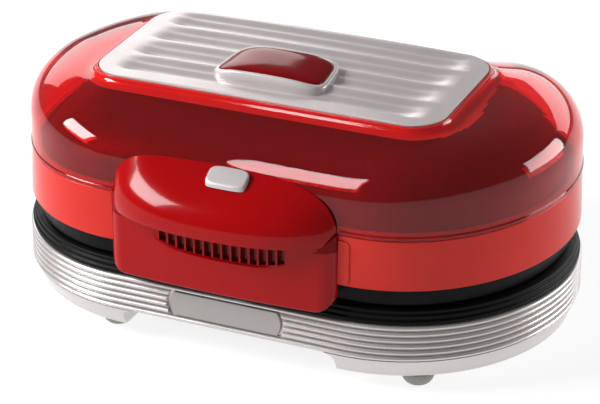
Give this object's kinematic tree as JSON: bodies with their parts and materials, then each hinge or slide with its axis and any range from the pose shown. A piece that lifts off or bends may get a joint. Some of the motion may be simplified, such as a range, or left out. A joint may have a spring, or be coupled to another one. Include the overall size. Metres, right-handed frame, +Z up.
{
  "type": "hamburger maker",
  "caption": "Countertop burger grill: ribbed silver base, see-through ruby dome on a rear-hinged lid, round patty wells, and a slotted front handle with a push-button latch.",
  "frame": {"origin": "on the ground, at the middle of the whole object's footprint box", "axes": "+Z up, +X to the right as seen from the front, front (the handle) towards -Y"},
  "size_m": [0.29, 0.2186, 0.1348],
  "materials": {
    "silver": "silver metallic paint on moulded plastic, satin",
    "foot_grey": "matt",
    "black": "satin moulded",
    "ring_red": "glossy",
    "handle_red": "glossy",
    "ruby": "clear, tinted ruby, polished",
    "dark_liner": "dark heat-proof moulding, matt",
    "plate_silver": "silver coat, satin",
    "lens_red": "dark red, polished",
    "pale_grey": "pale silver grey, smooth",
    "cast_plate": "cast, with a dark non-stick coat",
    "heater_steel": "heat-dulled steel tube",
    "bright_sheet": "bright rolled sheet",
    "steel": "plated",
    "ceramic": "unglazed, off-white"
  },
  "bodies": {
    "base": {"base_tub": "silver", "front_plaque": "silver", "bottom_cover": "black", "cover_screw_1": "steel", "cover_screw_2": "steel", "cover_screw_3": "steel", "cover_screw_4": "steel", "foot_front_left": "foot_grey", "foot_front_right": "foot_grey", "foot_rear_left": "foot_grey", "foot_rear_right": "foot_grey", "base_rim": "black", "latch_keeper": "steel", "lower_cooking_plate": "cast_plate", "lower_heating_element": "heater_steel", "lower_reflector": "bright_sheet", "thermostat": "ceramic", "thermal_fuse": "steel", "terminal_block": "ceramic", "cord_gland": "black", "hinge_bracket_left": "black", "hinge_bracket_right": "black", "hinge_pin_left": "steel", "hinge_pin_right": "steel", "bracket_screw_left_1": "steel", "bracket_screw_left_2": "steel", "bracket_screw_right_1": "steel", "bracket_screw_right_2": "steel"},
    "lid": {"hinge_arm_left": "black", "hinge_arm_right": "black", "arm_screw_left_1": "steel", "arm_screw_left_2": "steel", "arm_screw_right_1": "steel", "arm_screw_right_2": "steel", "lid_collar": "black", "upper_cooking_plate": "cast_plate", "upper_heating_element": "heater_steel", "upper_reflector": "bright_sheet", "lid_ring": "ring_red", "lid_shell": "ruby", "lid_liner": "dark_liner", "top_plate": "plate_silver", "badge_bezel": "pale_grey", "badge_lens": "lens_red", "handle_skirt": "handle_red", "handle_screw_1": "steel", "handle_screw_2": "steel", "handle_cap": "handle_red", "button_spring": "steel"},
    "button": {"release_button": "pale_grey"},
    "latch": {"latch_plate": "steel"}
  },
  "joints": [
    {"name": "lid_hinge", "type": "hinge", "parent": "base", "child": "lid", "pos_m": [0, 0.10325, 0.05], "axis": [-1, 0, 0], "range_deg": [0, 95]},
    {"name": "button_slide", "type": "slide", "parent": "lid", "child": "button", "axis": [0, 0, -1], "range_m": [0, 0.0025], "stiffness_N_per_m": 400, "springref_m": -0.003, "deforming": ["button_spring"]},
    {"name": "latch_slide", "type": "slide", "parent": "lid", "child": "latch", "axis": [-1, 0, 0], "range_m": [0, 0.0025]}
  ],
  "couplings": [
    {"joint": "latch_slide", "follows": "button_slide", "ratio": 1}
  ]
}
